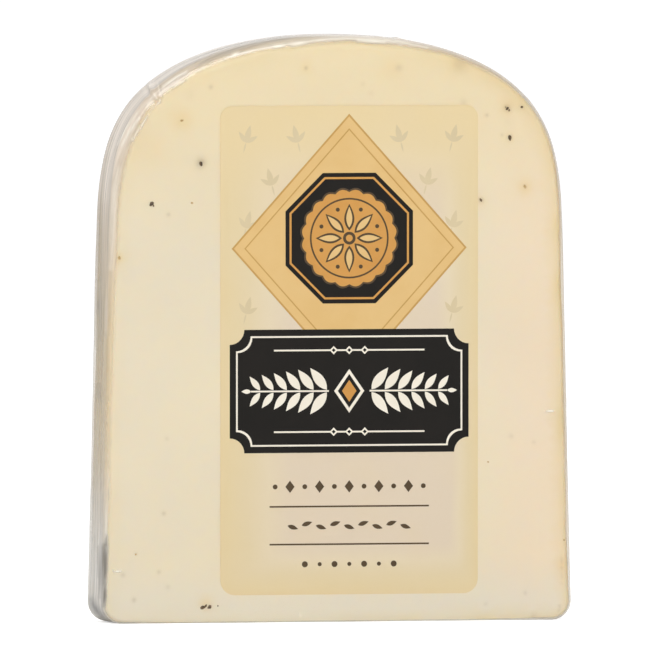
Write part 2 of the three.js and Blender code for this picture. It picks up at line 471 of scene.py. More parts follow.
def cheese_material():
    n = Nodes("goat_cheese")
    at = n.here()
    broad = n.span(n.noise(at, 46.0, 3.0, 0.55), 0.35, 0.66)
    fine = n.span(n.noise(at, 320.0, 3.0, 0.6), 0.3, 0.72)
    grain = n.noise(at, 1900.0, 3.0, 0.65)
    curd = n.add("TexVoronoi", {"Vector": at, "Scale": 420.0, "Smoothness": 0.7}, feature="SMOOTH_F1").outputs["Distance"]
    base = n.mix(broad, lin(240, 227, 198), lin(237, 225, 200))
    base = n.mix(n.math("MULTIPLY", fine, 0.25), base, lin(243, 228, 192))
    x, _, z = n.add("SeparateXYZ", {0: at}).outputs
    base = n.mix(n.span(x, 0.024, 0.042, 0.0, 0.5), base, lin(250, 225, 196))
    base = n.mix(n.span(z, 0.070, 0.116, 0.0, 0.75), base, lin(245, 226, 184))
    base = n.mix(n.span(z, 0.014, 0.002, 0.0, 0.75), base, lin(234, 226, 208))
    patch = n.span(n.noise(at, 90.0, 2.0, 0.5), 0.42, 0.7)
    # Painted shade: a darker, yellower rounded cut edge, in patches.
    rim = n.math("MULTIPLY", n.attr("edge_shade"), n.math("ADD", 0.55, n.math("MULTIPLY", patch, 0.4)))
    base = n.mix(rim, base, lin(235, 213, 164))
    streak = n.span(n.noise(at, 120.0, 3.0, 0.6), 0.56, 0.7)
    base = n.mix(n.math("MULTIPLY", n.attr("rind"), n.span(streak, 0.0, 1.0, 0.55, 0.95)), base, lin(224, 203, 160))
    base = n.mix(n.attr("warm_spot"), base, lin(236, 208, 150))
    blot = n.math("MULTIPLY", n.attr("soft_spot"), n.span(fine, 0.0, 1.0, 0.75, 1.25))
    base = n.mix(blot, base, lin(132, 102, 48))
    base = n.mix(n.span(grain, 0.62, 0.8, 0.0, 0.10), base, lin(214, 194, 150))
    rough = n.span(grain, 0.3, 0.75, 0.42, 0.6)
    height = n.math("ADD", n.math("MULTIPLY", grain, 0.4), n.math("MULTIPLY", curd, 0.7))
    b = n.add("BsdfPrincipled", {"Base Color": base, "Roughness": rough, "Normal": n.bump(height, 0.18, 0.0002)})
    b.inputs["IOR"].default_value = 1.42
    b.inputs["Subsurface Weight"].default_value = 0.35
    b.inputs["Subsurface Radius"].default_value = (1.0, 0.72, 0.42)
    b.inputs["Subsurface Scale"].default_value = 0.0016
    return n.done(b.outputs[0])


cheese.data.materials.append(cheese_material())

# ---- truffle flakes --------------------------------------------------------------------------
bm = bmesh.new()
bmesh.ops.create_icosphere(bm, subdivisions=3, radius=1.0)
BALL_V = np.array([v.co for v in bm.verts])
BALL_F = np.array([[v.index for v in f.verts] for f in bm.faces])
bm.free()


def crumb(seed, a, b, c):
    """An angular flake with half sizes a, b in its plane and c through it."""
    r = np.random.default_rng(seed)
    v = BALL_V.copy()
    k = np.ones(len(v))
    for _ in range(7):
        d = r.normal(size=3)
        d /= np.linalg.norm(d)
        k = np.minimum(k, r.uniform(0.62, 0.98) / np.maximum(v @ d, 1e-3))
    w = r.normal(size=(5, 3)) * 3.1
    for q in w:
        k *= 1 + 0.06 * np.sin(v @ q + r.uniform(0, 6))
    return v * k[:, None] * np.array([a, c, b])


def flakes(name, fronts, backs, sides, seed):
    verts, faces, at = [], [], 0

    def put(v):
        nonlocal at
        verts.append(v)
        faces.append(BALL_F + at)
        at += len(v)

    half = THICK / 2 - CHEESE_SKIN
    for i, (px, py, a, b, turn) in enumerate(fronts):
        x, z = on_front(px, py)
        v = crumb(seed + i, a / PIXEL * 1.08, b / PIXEL * 1.08, 0.085)
        t = math.radians(turn)
        v = v @ np.array([[math.cos(t), 0, math.sin(t)], [0, 1, 0], [-math.sin(t), 0, math.cos(t)]])
        put(v + np.array([x, -half - float(bulge(x, z)) - 0.005, z]))
    for i, (x, z, a, b, turn) in enumerate(backs):
        v = crumb(seed + 100 + i, a, b, 0.085)
        t = math.radians(turn)
        v = v @ np.array([[math.cos(t), 0, math.sin(t)], [0, 1, 0], [-math.sin(t), 0, math.cos(t)]])
        put(v + np.array([x, half + float(bulge(x, z)) + 0.005, z]))
    for i, (s, y, a, b, turn) in enumerate(sides):
        p, nrm = along(np.array([s]))
        p, nrm = p[0] - nrm[0] * (CHEESE_INSET - float(cheese_lift(np.array([s]), 9.0, 18.0)[0])), nrm[0]
        v = crumb(seed + 200 + i, a, b, 0.1)
        t = math.radians(turn)
        v = v @ np.array([[math.cos(t), 0, math.sin(t)], [0, 1, 0], [-math.sin(t), 0, math.cos(t)]])
        tangent = np.array([-nrm[1], 0, nrm[0]])
        out = np.array([nrm[0], 0, nrm[1]])
        put(v[:, :1] * tangent + v[:, 1:2] * out + v[:, 2:] * np.array([0, 1, 0]) + np.array([p[0], y, p[1]]))
    return new_object(name, np.concatenate(verts), np.concatenate(faces).tolist(), smooth=False)


dark_flakes = flakes("truffle_flakes_dark", DARK, BACK_DARK, SIDE_DARK, 500)
tan_flakes = flakes("truffle_flakes_tan", TAN, BACK_TAN, SIDE_TAN, 900)


def flake_material(name, deep, pale):
    n = Nodes(name)
    at = n.here()
    k = n.span(n.noise(at, 2600.0, 3.0, 0.6), 0.35, 0.7)
    vein = n.add("TexVoronoi", {"Vector": at, "Scale": 3400.0}, feature="F1").outputs["Distance"]
    col = n.mix(k, deep, pale)
    b = n.add("BsdfPrincipled", {"Base Color": col, "Roughness": n.span(k, 0.0, 1.0, 0.5, 0.75),
                                 "Normal": n.bump(vein, 0.4, 0.0001)})
    b.inputs["Specular IOR Level"].default_value = 0.3
    return n.done(b.outputs[0])


dark_flakes.data.materials.append(flake_material("truffle_dark", lin(66, 47, 26), lin(128, 100, 60)))
tan_flakes.data.materials.append(flake_material("truffle_tan", lin(190, 156, 98), lin(214, 184, 130)))

# ---- the clear film --------------------------------------------------------------------------
# Pleats across the side: place on the outline nearest to (x, z), lean, half width, height.
PLEATS = [((-36.4, 106.6), -0.22, 0.42, 0.55), ((38.5, 103.0), -0.12, 0.9, 0.05), ((-48.3, 30.0), 0.05, 0.9, 0.06), ((47.6, 44.0), -0.1, 0.9, 0.06),
          ((-47.6, 5.0), 0.05, 0.9, 0.08), ((48.2, 8.5), -0.3, 0.8, 0.1), ((12.0, 118.0), 0.3, 0.7, 0.22)]
PLEAT_S = [s_near(*p[0]) for p in PLEATS]

film_s = spaced(0.22, PLEAT_S, 0.6, 2.6)
film_rng = np.random.default_rng(77)


def ridge(w0, w1, long0, long1, wide0, wide1, tall0, tall1):
    u = film_rng.uniform
    return (u(0, ROUND), u(long0, long1), u(w0, w1), u(-0.05, 0.05), u(-0.0012, 0.0012), u(wide0, wide1), u(tall0, tall1) * film_rng.choice([1, 1, -0.5]))


RIDGES = ([ridge(3.5, 17.0, 14, 46, 0.55, 1.2, 0.03, 0.13) for _ in range(80)] + [ridge(0.9, 4.6, 12, 34, 0.2, 0.4, 0.01, 0.035) for _ in range(90)])


def film_lift(s, w, wide):
    """How far the film stands off its tight place at (s, w): ridges drawn out along the edge, and pleats across it."""
    h = np.zeros(len(s))
    for s0, length, w0, slope, bend, broad, tall in RIDGES:
        d = (s - s0 + ROUND / 2) % ROUND - ROUND / 2
        near = np.abs(d) < length
        if not near.any():
            continue
        d, ww = d[near], w[near]
        mid = w0 + slope * d + bend * d * d + 0.12 * np.sin(d / 4.1 + s0)
        h[near] += tall * np.exp(-0.5 * ((ww - mid) / broad) ** 2) * np.cos(0.5 * math.pi * d / length) ** 2
    for (_, lean, broad, tall), s0 in zip(PLEATS, PLEAT_S):
        d = (s - s0 - lean * (w - 8.0) + ROUND / 2) % ROUND - ROUND / 2
        k = np.exp(-0.5 * (d / broad) ** 2) - 0.45 * np.exp(-0.5 * ((d - 1.7 * broad) / (1.2 * broad)) ** 2)
        h += tall * k * np.exp(-((w - 7.0) / 6.5) ** 4)
    h = np.clip(h, -0.2, 0.7) * np.clip(np.minimum(w, wide - w) / 0.7, 0, 1)
    p, _ = along(s)
    return np.where(p[:, 1] < 0.4, np.clip(h, -0.2, 0.0), h)    # flat where it stands on its base


film_ease = round_values(EDGE_IN, film_s)
film_edge_in = film_ease * np.clip(0.95 + 0.012 * loop_noise(film_s, 45, 150, 9) + 0.045 * loop_noise(film_s, 8, 36, 5), 0.8, 1.1)
film_edge_deep = round_values(EDGE_DEEP, film_s) * np.clip(0.95 + 0.05 * loop_noise(film_s, 8, 40, 12), 0.8, 1.1)
# Two short creases in the front face, drawn only as painted highlights, thin white lines: from, to and level in the
# picture.
CREASES = [(112.5, 122.5, 571.3), (545.0, 554.5, 411.0)]
crease_ends = [(on_front(a, y), on_front(b, y)) for a, b, y in CREASES]
crease_points = np.concatenate([np.stack(np.meshgrid(np.linspace(a[0] - 0.2, b[0] + 0.2, 16), a[1] + np.linspace(-0.4, 0.4, 11)), -1).reshape(-1, 2)
                                for a, b in crease_ends])
film, film_v, film_m = slab_mesh("clear_film", film_s, 0.0, 0.0, film_edge_in, film_edge_deep, film_ease, 13, 40, film_lift, 2.6, crease_points)

# Where the film is gathered it turns hazy and grey: its side, most of all low on one edge. Its veil colour is partly
# that haze and partly painted light: grey and pale for painted reflection, beige for the painted shade of the cheese
# side under it.
fs, fw, fz = film_m.T
on_side = (fz >= 1) & (fz <= 3)
rings = int((fw > -8.5).sum()) // len(film_s)
ring_w = fw[:rings * len(film_s)].reshape(rings, -1).mean(1)
streaks = np.zeros(len(fs))
streaks[:rings * len(film_s)] = (0.8 * streak_noise(film_s, ring_w, 40, 9, (0.04, 0.16), 21) + 0.5 * streak_noise(film_s, ring_w, 60, 14, (0.2, 0.6), 22)).ravel()
level = round_values([(0, 0, 0.7), (40, 0, 0.7), (48, 6, 0.5), (47.5, 60, 0.42), (38, 104, 0.5), (15, 117.5, 0.6), (0, 117.9, 0.7), (-15, 117.3, 0.75),
                      (-28, 112.5, 0.8), (-36, 107, 0.8), (-46, 88, 0.75), (-47, 72, 0.6), (-47.5, 50, 0.35), (-48, 34, 0.35), (-48, 24, 0.6), (-48, 12, 0.85),
                      (-42, 0, 0.5)], fs)
brim = round_values(EDGE_IN, fs)
held_back = round_values([(0, 0, 0.0), (40, 0, 0.0), (48, 20, 0.2), (47.5, 60, 0.4), (38, 104, 0.8), (15, 117.5, 0.9), (0, 117.9, 0.8), (-15, 117.3, 1.1), (-28, 112.5, 1.1), (-36, 107, 0.8), (-46, 88, 0.3), (-47, 72, 0.0), (-48, 26, 0.0), (-48, 14, 1.0), (-47.5, 2, 2.4), (-44, 0, 2.4), (-30, 0, 0.6)], fs)
haze_and_painted_light = np.where(on_side, np.clip(fw / (0.4 * brim) - 0.5 * held_back, 0, 1) * level * np.clip(1.0 + 0.16 * streaks, 0.5, 1.3), 0.0)
# Veil colours: a warm grey for the haze and its painted reflection, beige for painted shade, pale for painted
# reflection and light, a dark grey for painted shade lines and a white for painted highlights.
WARM_GREY, BEIGE, PALE, SHADE_GREY, GLINT_WHITE = [np.array(lin(*c)[:3]) for c in ((236, 221, 204), (222, 202, 164), (242, 239, 231), (104, 96, 84), (255, 250, 234))]
# Share of the pale veil: painted reflection low on the left, painted light along the base.
pale = round_values([(0, 0, 1.0), (40, 0, 1.0), (48, 6, 0.5), (47.5, 60, 0.1), (38, 104, 0.0), (0, 117.9, 0.5), (-36, 107, 0.05), (-47, 72, 0.0), (-47.5, 50, 0.0), (-48, 34, 0.1),
                     (-48, 22, 0.75), (-48, 10, 0.9), (-42, 0, 0.6)], fs)
# Share of the beige veil: painted shade of the cheese side seen through the film.
shaded_side_share = round_values([(0, 0, 0.2), (48, 20, 0.5), (47.5, 60, 0.7), (38, 104, 0.2), (0, 117.9, 0.1), (-36, 107, 0.1), (-46, 88, 0.15), (-47, 72, 0.55), (-47.4, 55, 1.0),
                      (-47.6, 42, 0.8), (-48, 30, 0.6), (-48, 18, 0.1), (-42, 0, 0.1)], fs)
veil_with_painted_light = WARM_GREY * (1 - shaded_side_share[:, None]) + BEIGE * shaded_side_share[:, None]
veil_with_painted_light = veil_with_painted_light * (1 - pale[:, None]) + PALE * pale[:, None]
veil_with_painted_light = veil_with_painted_light * np.clip(1.0 + 0.05 * streaks, 0.85, 1.15)[:, None]
# Painted shade: the veil darker on the right-hand and top stretches.
veil_with_painted_light = veil_with_painted_light * (1.0 - round_values([(0, 0, 0.0), (40, 0, 0.04), (48, 8, 0.12), (47.5, 60, 0.12), (38, 104, 0.16), (15, 117.5, 0.08), (0, 117.9, 0.0), (-48, 40, 0.0)], fs))[:, None]
veil_with_painted_light = veil_with_painted_light * (1.0 + (0.20 - 0.34 * np.clip((fw - 4.0) / 5.0, 0, 1)) * shaded_side_share)[:, None]    # the far half of the side lies in shade

# Painted highlights and painted shade lines in the gathered film that the front view shows: points of a line in the
# picture, half width in pixels, strength, colour.
GLINTS_AND_SHADE_LINES = [([(160.5, 100.6), (143.0, 123.8), (132.4, 140.0)], 1.3, 0.95, GLINT_WHITE), ([(186.8, 71.3), (175.5, 77.5), (163.0, 86.3)], 1.0, 0.9, GLINT_WHITE),
         ([(184.5, 80.8), (173.5, 86.5)], 1.4, 0.6, GLINT_WHITE), ([(188.5, 73.2), (177.0, 79.4), (166.0, 87.0)], 0.8, 0.6, SHADE_GREY * 2.2),
         ([(156.0, 93.8), (146.8, 103.8)], 0.9, 0.6, GLINT_WHITE), ([(139.0, 117.5), (129.5, 131.0), (121.8, 145.0)], 0.8, 0.8, GLINT_WHITE),
         ([(136.8, 112.5), (126.0, 128.0), (117.4, 145.0)], 0.7, 0.7, GLINT_WHITE), ([(159.3, 81.3), (161.8, 95.0)], 0.9, 0.5, SHADE_GREY * 2.2),
         ([(157.5, 83.0), (160.0, 94.0)], 0.7, 0.5, GLINT_WHITE), ([(118.5, 168.0), (114.5, 190.0), (112.0, 222.0), (110.6, 268.0)], 2.6, 0.7, GLINT_WHITE * np.array([0.9, 0.86, 0.84])),
         ([(196.0, 67.0), (205.0, 61.0), (222.0, 53.2), (240.0, 47.2), (262.0, 41.2), (286.0, 37.0)], 1.5, 0.75, SHADE_GREY * 2.0),
         ([(225.0, 58.0), (260.0, 49.0), (290.0, 44.0), (320.0, 39.6), (350.0, 38.6), (400.0, 41.5), (428.0, 48.0)], 1.0, 0.7, GLINT_WHITE),
         ([(274.0, 47.0), (284.0, 45.6)], 1.7, 0.8, GLINT_WHITE), ([(291.0, 45.0), (304.0, 43.0)], 2.2, 0.85, GLINT_WHITE), ([(358.0, 40.6), (384.0, 41.8)], 1.9, 0.8, GLINT_WHITE),
         ([(232.0, 55.0), (238.0, 53.0)], 1.6, 0.7, GLINT_WHITE), ([(98.0, 284.0), (97.6, 310.0), (97.0, 345.0)], 2.6, 0.6, BEIGE * 0.72),
         ([(98.5, 300.0), (98.2, 312.0)], 1.8, 0.5, SHADE_GREY * 1.3), ([(98.0, 385.0), (97.6, 400.0)], 2.0, 0.45, SHADE_GREY * 1.4), ([(106.5, 300.0), (106.0, 330.0)], 1.8, 0.4, WARM_GREY),
         ([(106.4, 535.0), (106.0, 546.0)], 1.3, 0.8, SHADE_GREY), ([(105.4, 545.0), (105.0, 562.0), (104.4, 583.0)], 2.6, 1.0, SHADE_GREY * 0.75), ([(104.8, 586.0), (104.6, 596.0), (103.6, 606.0)], 2.2, 1.0, SHADE_GREY * 0.75), ([(102.0, 546.0), (101.2, 570.0), (100.2, 597.0)], 2.6, 0.85, SHADE_GREY * 1.5),
         ([(98.4, 546.0), (97.8, 578.0)], 1.0, 0.6, SHADE_GREY * 1.6), ([(91.0, 600.0), (93.8, 606.5), (97.8, 612.0), (102.0, 616.5)], 4.2, 1.0, SHADE_GREY * 0.6),
         ([(562.0, 556.0), (562.4, 572.0), (562.4, 590.0)], 1.6, 0.7, BEIGE * 0.72), ([(566.0, 556.0), (566.4, 566.0)], 1.2, 0.6, SHADE_GREY * 1.6),
         ([(560.5, 603.0), (560.0, 612.0)], 1.6, 0.6, BEIGE * 0.6)]
u = film_v - TARGET
k = PIXEL / (1 + (u @ AHEAD) / AWAY)
seen_x, seen_y = MIDDLE[0] + (u @ RIGHT) * k, MIDDLE[1] - (u @ UP) * k
facing = np.zeros((len(film_v), 3), np.float32)
film.data.vertex_normals.foreach_get("vector", facing.ravel())
turned = (facing @ AHEAD < 0.05) & on_side
for line, half_px, strong, colour in GLINTS_AND_SHADE_LINES:
    line = np.array(line)
    far, part = np.full(len(film_v), 1e9), np.zeros(len(film_v))
    for i, (a, b) in enumerate(zip(line[:-1], line[1:])):
        d = b - a
        f = np.clip(((seen_x - a[0]) * d[0] + (seen_y - a[1]) * d[1]) / (d @ d), 0, 1)
        r = np.hypot(seen_x - a[0] - f * d[0], seen_y - a[1] - f * d[1])
        part = np.where(r < far, (i + f) / (len(line) - 1), part)
        far = np.minimum(far, r)
    m = np.where(turned, strong * np.exp(-(far / half_px) ** 2) * (0.5 + 0.5 * np.sin(math.pi * np.clip(part, 0.06, 0.94)) ** 0.6), 0.0)
    haze_and_painted_light = haze_and_painted_light + (1 - haze_and_painted_light) * m
    veil_with_painted_light = veil_with_painted_light * (1 - m[:, None]) + colour * m[:, None]
# Painted highlight: a thin white line along each crease.
for a, b in crease_ends:
    f = np.clip((film_v[:, 0] - a[0]) / (b[0] - a[0]), 0, 1)
    near = (fz == 0) & (film_v[:, 0] > a[0] - 0.3) & (film_v[:, 0] < b[0] + 0.3)
    m = np.where(near, np.sin(math.pi * f) ** 0.6 * np.exp(-((film_v[:, 2] - a[1]) / 0.17) ** 2), 0.0)
    haze_and_painted_light = np.maximum(haze_and_painted_light, m)
    veil_with_painted_light = veil_with_painted_light * (1 - m[:, None]) + GLINT_WHITE * m[:, None]
set_values(film, "haze_and_painted_light", np.clip(haze_and_painted_light, 0, 0.97))
set_vectors(film, "veil_with_painted_light", np.clip(veil_with_painted_light, 0, 0.97))
set_values(film, "gathered", np.where(on_side, np.clip(fw / 0.8, 0, 1), 0.0))
set_vectors(film, "wrap", np.stack([fs, fw, np.zeros(len(fs))], 1))


def film_material():
    n = Nodes("clear_film")
    at = n.here()
    wrap = n.attr("wrap", "Vector")
    drawn = n.noise(wrap, 1.0, 3.0, 0.6, stretch=(0.09, 1.5, 1.0))
    ripple = n.noise(at, 210.0, 2.0, 0.5)
    haze_and_painted_light, side = n.attr("haze_and_painted_light"), n.attr("gathered")
    height = n.math("ADD", n.math("MULTIPLY", n.math("MULTIPLY", drawn, side), 1.0), n.math("MULTIPLY", ripple, 0.12))
    normal = n.bump(height, 0.16, 0.0006)
    clear = n.add("BsdfTransparent", {"Color": (0.985, 0.985, 0.98, 1)})
    # The layer over the clear film carries the veil colour: the film's haze with painted reflection, painted shade and
    # painted highlights.
    haze_and_light_share = n.math("MULTIPLY", haze_and_painted_light, n.span(drawn, 0.3, 0.7, 0.86, 1.08), clamp=True)
    haze_and_light_layer = n.add("BsdfPrincipled", {"Base Color": n.mix(n.span(drawn, 0.3, 0.7, 0.0, 0.14), n.attr("veil_with_painted_light", "Vector"), lin(250, 246, 240)), "Normal": normal})
    haze_and_light_layer.inputs["Roughness"].default_value = 0.35
    body = n.add("MixShader", {0: haze_and_light_share, 1: clear.outputs[0], 2: haze_and_light_layer.outputs[0]})
    facing = n.add("LayerWeight", {"Blend": 0.5, "Normal": normal}).outputs["Facing"]
    share = n.math("ADD", n.math("MULTIPLY", n.math("POWER", facing, 5.0), 0.5), 0.04, clamp=True)    # the inner skin lies wet on the cheese
    gloss = n.add("BsdfGlossy", {"Color": (1, 1, 1, 1), "Roughness": 0.07, "Normal": normal})
    return n.done(n.add("MixShader", {0: share, 1: body.outputs[0], 2: gloss.outputs[0]}).outputs[0])


film.data.materials.append(film_material())

# ---- the label -------------------------------------------------------------------------------
# Its print is fields of colour, each a closed outline in (u, v), measured from the label's middle. Later fields lie over earlier ones.
STOCK, TONE, OCHRE, DEEP, BLACK, CREAM, GOLD, BROWN = range(8)
fields = []


def field(ink, points):
    fields.append((ink, np.asarray(points, float)))


def arc(cu, cv, r, a0, a1, steps):
    a = np.radians(np.linspace(a0, a1, steps + 1))
    return np.stack([cu + r * np.cos(a), cv + r * np.sin(a)], 1)


def round_box(w, h, top, foot, steps=8):
    return np.concatenate([arc(w - foot, -h + foot, foot, -90, 0, steps), arc(w - top, h - top, top, 0, 90, steps),
                           arc(-w + top, h - top, top, 90, 180, steps), arc(-w + foot, -h + foot, foot, 180, 270, steps)])


def notched(cu, cv, w, h, r, steps=7):
    """A plaque with its corners scooped out."""
    return np.concatenate([arc(cu + w, cv - h, r, 180, 90, steps), arc(cu + w, cv + h, r, 270, 180, steps),
                           arc(cu - w, cv + h, r, 360, 270, steps), arc(cu - w, cv - h, r, 90, 0, steps)])


def lozenge(cu, cv, w, h):
    return np.array([[cu + w, cv], [cu, cv + h], [cu - w, cv], [cu, cv - h]])


def ngon(cu, cv, r, sides, turn=0.0):
    return arc(cu, cv, r, turn, turn + 360 - 360 / sides, sides - 1)


def disc(cu, cv, r, steps=40):
    return ngon(cu, cv, r, steps)


def scalloped(cu, cv, r, lobes, deep, steps=10):
    a = np.linspace(0, 2 * math.pi, lobes * steps, endpoint=False)
    k = r - deep * (1 - np.abs(np.sin(0.5 * lobes * a)))
    return np.stack([cu + k * np.cos(a), cv + k * np.sin(a)], 1)


def leaf(u, v, turn, length, wide, steps=9):
    """A pointed leaf from its foot (u, v), leaning `turn` degrees from the +u direction."""
    t = np.linspace(0, 1, steps + 1)
    k = 0.5 * wide * np.sin(math.pi * t ** 0.85)
    side = np.concatenate([np.stack([t * length, k], 1), np.stack([t * length, -k], 1)[-2:0:-1]])
    a = math.radians(turn)
    return side @ np.array([[math.cos(a), math.sin(a)], [-math.sin(a), math.cos(a)]]) + np.array([u, v])


def bar(u, v, w, h):
    return np.array([[u - w, v - h], [u + w, v - h], [u + w, v + h], [u - w, v + h]])


W2, H2 = LABEL_W / 2, LABEL_H / 2
outline = round_box(W2, H2, 2.4, 3.0)

# Small sprigs, tone on tone, over the upper two thirds.
for row in range(8):
    for col in range(-2, 3):
        cu = col * 10.6 + (5.3 if row % 2 else 0.0)
        cv = 43.2 - row * 8.6
        if abs(cu) > 23.6:
            continue
        lean = 14 if (row + col) % 2 else -14
        for a, k in ((90, 3.6), (42, 2.7), (138, 2.7)):
            field(TONE, leaf(cu, cv - 1.4, a + lean, k, 0.34 * k))
        field(TONE, leaf(cu, cv - 1.3, 270 + lean, 2.3, 0.34, 4))

# A large lozenge with a fine inner line.
CV = 20.5
field(DEEP, lozenge(0, CV, 24.2, 27.0))
field(OCHRE, lozenge(0, CV, 23.7, 26.45))
field(DEEP, lozenge(0, CV, 21.6, 24.1))
field(OCHRE, lozenge(0, CV, 21.25, 23.7))

# A dark eight-sided medallion with a rosette.
field(BLACK, ngon(0, CV + 2.0, 14.2, 8, 22.5))
field(GOLD, ngon(0, CV + 2.0, 13.3, 8, 22.5))
field(BLACK, ngon(0, CV + 2.0, 12.85, 8, 22.5))
field(BROWN, scalloped(0, CV + 2.0, 10.2, 20, 0.55))
field(GOLD, scalloped(0, CV + 2.0, 9.8, 20, 0.55))
field(BROWN, disc(0, CV + 2.0, 8.1, 64))
field(GOLD, disc(0, CV + 2.0, 7.75, 64))
for i in range(8):
    a = 45.0 * i
    field(BROWN, leaf(1.5 * math.cos(math.radians(a)), CV + 2.0 + 1.5 * math.sin(math.radians(a)), a, 5.4, 2.1))
    field(OCHRE, leaf(2.1 * math.cos(math.radians(a)), CV + 2.0 + 2.1 * math.sin(math.radians(a)), a, 4.2, 1.25))
    a += 22.5
    field(BROWN, disc(6.2 * math.cos(math.radians(a)), CV + 2.0 + 6.2 * math.sin(math.radians(a)), 0.42, 12))
field(BROWN, disc(0, CV + 2.0, 1.3, 20))
field(GOLD, disc(0, CV + 2.0, 0.7, 16))

# A dark plaque with a leaf garland.
PV = -8.2
field(BLACK, notched(0, PV, 24.6, 12.4, 3.0))
field(CREAM, notched(0, PV, 23.3, 11.1, 3.0))
field(BLACK, notched(0, PV, 22.95, 10.75, 3.0))
for side in (1, -1):
    for i in range(6):
        u = 4.6 + 2.75 * i
        k = 5.6 - 0.42 * i
        for up in (1, -1):
            a = 52 * up if side > 0 else 180 - 52 * up
            field(CREAM, leaf(side * u, PV + 0.25 * up, a, k, 0.36 * k))
    a = 0 if side > 0 else 180
    field(CREAM, leaf(side * 20.2, PV, a, 2.0, 0.9))
    field(CREAM, bar(side * 12.2, PV, 8.0, 0.17))
field(CREAM, lozenge(0, PV, 3.1, 4.4))
field(BLACK, lozenge(0, PV, 2.35, 3.4))
field(GOLD, lozenge(0, PV, 1.5, 2.2))
for up in (1, -1):
    field(CREAM, bar(0, PV + 8.2 * up, 15.5, 0.17))
    for i in range(-1, 2):
        field(CREAM, lozenge(3.2 * i, PV + 8.2 * up, 0.85, 0.85))
        field(BLACK, lozenge(3.2 * i, PV + 8.2 * up, 0.4, 0.4))

# Quiet rows of ornament below.
for i in range(-5, 6):
    field(BROWN, lozenge(3.05 * i, -27.4, 0.95, 1.25) if i % 2 == 0 else disc(3.05 * i, -27.4, 0.5, 14))
field(BROWN, bar(0, -31.4, 16.4, 0.17))
for i in range(-4, 5):
    field(BROWN, leaf(2.9 * i - 1.1, -35.2, 18 if i % 2 else -18, 2.3, 0.9))
field(BROWN, bar(0, -39.0, 16.4, 0.17))
for i in range(-3, 4):
    field(BROWN, disc(3.05 * i, -43.0, 0.62 if i % 2 else 0.42, 14))


def label_mesh():
    pts, edges = [], []

    def loop(poly):
        start = len(pts)
        pts.extend(Vector((float(u), float(v))) for u, v in poly)
        edges.extend((start + i, start + (i + 1) % len(poly)) for i in range(len(poly)))

    loop(outline)
    for _, poly in fields:
        loop(poly)
    for u in np.arange(-W2 + 2.0, W2 - 1.0, 2.45):
        for v in np.arange(-H2 + 2.0, H2 - 1.0, 2.45):
            pts.append(Vector((float(u), float(v))))
    verts, _, tris, *_ = delaunay_2d_cdt(pts, edges, [], 0, 1e-5)
    p = np.array([tuple(v) for v in verts])
    t = np.array([list(f) for f in tris])
    mid = p[t].mean(1)
    area = np.cross(p[t[:, 1]] - p[t[:, 0]], p[t[:, 2]] - p[t[:, 0]])
    keep = inside(mid, outline) & (np.abs(area) > 1e-7)
    t, mid, area = t[keep], mid[keep], area[keep]
    t[area < 0] = t[area < 0][:, ::-1]
    ink = np.zeros(len(t), int)
    for colour, poly in fields:
        lo, hi = poly.min(0), poly.max(0)
        box = np.where(((mid >= lo) & (mid <= hi)).all(1))[0]
        if len(box):
            ink[box[inside(mid[box], poly)]] = colour
    used = np.unique(t)
    place = np.full(len(p), -1)
    place[used] = np.arange(len(used))
    p, t = p[used], place[t]
    # the printed top, the back and the cut edge between them
    x, z = p[:, 0] + LABEL_X, p[:, 1] + LABEL_Z
    y = -THICK / 2 - bulge(x, z) - 0.012
    top = np.stack([x, y - LABEL_THICK, z], 1)
    under = np.stack([x, y, z], 1)
    count = len(p)
    faces, inks = t.tolist(), ink.tolist()
    faces += (t[:, ::-1] + count).tolist()
    inks += [STOCK] * len(t)
    seen = {}
    for tri in t.tolist():
        for a, b in zip(tri, tri[1:] + tri[:1]):
            seen[(a, b)] = True
    for a, b in seen:
        if (b, a) not in seen:
            faces.append([b, a, a + count, b + count])
            inks.append(STOCK)
    ob = new_object("front_label_print", np.concatenate([top, under]), faces, smooth=False)
    ob.data.polygons.foreach_set("material_index", np.array(inks, np.int32))
    return ob


label = label_mesh()
label.visible_shadow = False    # thin stock lets the light through to the cheese at its edge


def paper_parts(n):
    at = n.here()
    fibre = n.noise(at, 1400.0, 4.0, 0.65, stretch=(1.0, 1.0, 2.2))
    mottle = n.noise(at, 110.0, 3.0, 0.55)
    return at, fibre, mottle


